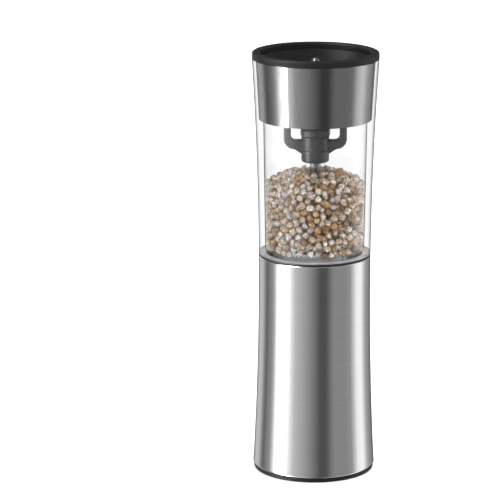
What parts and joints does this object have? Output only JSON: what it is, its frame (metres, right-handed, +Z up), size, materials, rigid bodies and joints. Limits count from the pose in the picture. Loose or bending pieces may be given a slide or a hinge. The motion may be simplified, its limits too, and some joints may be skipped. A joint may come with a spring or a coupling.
{
  "type": "pepper mill",
  "caption": "Rechargeable gravity pepper mill, stood mouth up: steel motor body, clear pepper chamber, and an adjustable ceramic burr in a black cup.",
  "frame": {"origin": "middle of the foot ring's underside, on the table", "axes": "+Z up along the mill's axis, from the motor body to the mouth; the charging socket faces +Y, the back; the yoke's arms lie along X"},
  "size_m": [0.0606, 0.0606, 0.205],
  "materials": {
    "foot_rubber": "satin black",
    "seal_black": "satin black",
    "black_plastic": "fine moulded black",
    "deck_satin": "satin pale grey",
    "screw_steel": "bright zinc",
    "body_steel": "brushed around the body",
    "sleeve_steel": "dark polished",
    "chassis_plastic": "moulded dark grey",
    "board_green": "solder mask green",
    "bright_metal": "bright plated",
    "light_pipe": "clear frosted",
    "cell_wrap": "shrink wrapped cell",
    "lead_red": "insulated lead",
    "motor_steel": "plated",
    "gear_white": "natural acetal",
    "magnet": "sintered",
    "bronze": "sintered bronze",
    "core_iron": "stacked sheet",
    "copper": "enamelled copper",
    "clear_plastic": "clear",
    "pepper": "peppercorns",
    "cup_black": "satin black",
    "burr_ceramic": "ground ceramic",
    "charcoal_plastic": "charcoal moulded",
    "shaft_steel": "ground"
  },
  "bodies": {
    "base": {"foot_ring": "foot_rubber", "bottom_cover": "black_plastic", "bottom_screws": "screw_steel", "steel_shell": "body_steel", "collar_ring": "seal_black", "deck": "deck_satin", "deck_seal": "seal_black", "deck_screws": "screw_steel", "chassis_front": "chassis_plastic", "chassis_rear": "chassis_plastic", "chassis_screws": "screw_steel", "control_board": "board_green", "charging_socket": "bright_metal", "charge_light": "light_pipe", "tilt_switch_can": "bright_metal", "battery_cell": "cell_wrap", "battery_tabs": "bright_metal", "motor_leads": "lead_red", "motor_can": "motor_steel", "motor_end_cap": "gear_white", "motor_magnets": "magnet", "motor_bushes": "bronze", "motor_brushes": "bronze", "motor_screws": "screw_steel", "gearbox_housing": "gear_white", "gearbox_cover": "motor_steel", "gearbox_screws": "screw_steel", "output_bush": "bronze"},
    "rotor": {"armature": "core_iron", "windings": "copper", "commutator": "copper", "motor_shaft": "motor_steel", "sun_pinion": "bronze"},
    "first_carrier": {"first_carrier": "gear_white"},
    "output": {"output_carrier": "motor_steel", "drive_coupling": "black_plastic"},
    "tilt_ball": {"tilt_ball": "bright_metal"},
    "chamber": {"clear_chamber": "clear_plastic", "pepper_fill": "pepper", "steel_sleeve": "sleeve_steel", "rim_ring": "cup_black", "grinding_cup": "cup_black", "burr_ring": "burr_ceramic", "yoke": "charcoal_plastic", "yoke_screws": "screw_steel", "hub_cap": "charcoal_plastic", "hub_sleeve": "charcoal_plastic", "hub_bush": "bronze"},
    "drive": {"drive_shaft": "shaft_steel", "shaft_collar": "clear_plastic", "burr_spring": "motor_steel"},
    "inner_burr": {"inner_burr": "burr_ceramic"},
    "knob": {"adjust_knob": "cup_black", "knob_tip": "bright_metal"},
    "first_planet_a": {"first_planet_a": "gear_white"},
    "second_planet_a": {"second_planet_a": "gear_white"},
    "first_planet_b": {"first_planet_b": "gear_white"},
    "second_planet_b": {"second_planet_b": "gear_white"},
    "first_planet_c": {"first_planet_c": "gear_white"},
    "second_planet_c": {"second_planet_c": "gear_white"}
  },
  "joints": [
    {"name": "chamber_lift", "type": "slide", "parent": "base", "child": "chamber", "axis": [0, 0, 1], "range_m": [0, 0.06]},
    {"name": "motor_spin", "type": "hinge", "parent": "base", "child": "rotor", "pos_m": [0, 0, 0.065], "axis": [0, 0, 1], "continuous": true},
    {"name": "first_carrier_spin", "type": "hinge", "parent": "base", "child": "first_carrier", "pos_m": [0, 0, 0.087], "axis": [0, 0, 1], "continuous": true},
    {"name": "output_spin", "type": "hinge", "parent": "base", "child": "output", "pos_m": [0, 0, 0.098], "axis": [0, 0, 1], "continuous": true},
    {"name": "burr_spin", "type": "hinge", "parent": "chamber", "child": "drive", "pos_m": [0, 0, 0.158], "axis": [0, 0, 1], "continuous": true},
    {"name": "burr_gap", "type": "slide", "parent": "drive", "child": "inner_burr", "axis": [0, 0, 1], "range_m": [0, 0.0006], "deforming": ["burr_spring"]},
    {"name": "coarseness_turn", "type": "hinge", "parent": "inner_burr", "child": "knob", "pos_m": [0, 0, 0.19], "axis": [0, 0, 1], "range_deg": [0, 270]},
    {"name": "tilt_ball_roll", "type": "slide", "parent": "base", "child": "tilt_ball", "axis": [0, 0, 1], "range_m": [0, 0.0042]},
    {"name": "first_planet_a_spin", "type": "hinge", "parent": "first_carrier", "child": "first_planet_a", "pos_m": [0.006, 0, 0.0838], "axis": [0, 0, 1], "continuous": true},
    {"name": "second_planet_a_spin", "type": "hinge", "parent": "output", "child": "second_planet_a", "pos_m": [0.006, 0, 0.0906], "axis": [0, 0, 1], "continuous": true},
    {"name": "first_planet_b_spin", "type": "hinge", "parent": "first_carrier", "child": "first_planet_b", "pos_m": [-0.003, 0.0052, 0.0838], "axis": [0, 0, 1], "continuous": true},
    {"name": "second_planet_b_spin", "type": "hinge", "parent": "output", "child": "second_planet_b", "pos_m": [-0.003, 0.0052, 0.0906], "axis": [0, 0, 1], "continuous": true},
    {"name": "first_planet_c_spin", "type": "hinge", "parent": "first_carrier", "child": "first_planet_c", "pos_m": [-0.003, -0.0052, 0.0838], "axis": [0, 0, 1], "continuous": true},
    {"name": "second_planet_c_spin", "type": "hinge", "parent": "output", "child": "second_planet_c", "pos_m": [-0.003, -0.0052, 0.0906], "axis": [0, 0, 1], "continuous": true}
  ],
  "couplings": [
    {"joint": "first_carrier_spin", "follows": "motor_spin", "ratio": 0.2},
    {"joint": "output_spin", "follows": "motor_spin", "ratio": 0.04},
    {"joint": "burr_spin", "follows": "motor_spin", "ratio": 0.04},
    {"joint": "first_planet_a_spin", "follows": "motor_spin", "ratio": -0.53333},
    {"joint": "second_planet_a_spin", "follows": "motor_spin", "ratio": -0.10667},
    {"joint": "first_planet_b_spin", "follows": "motor_spin", "ratio": -0.53333},
    {"joint": "second_planet_b_spin", "follows": "motor_spin", "ratio": -0.10667},
    {"joint": "first_planet_c_spin", "follows": "motor_spin", "ratio": -0.53333},
    {"joint": "second_planet_c_spin", "follows": "motor_spin", "ratio": -0.10667},
    {"joint": "coarseness_turn", "follows": "burr_gap", "rad_per_m": 7854}
  ]
}
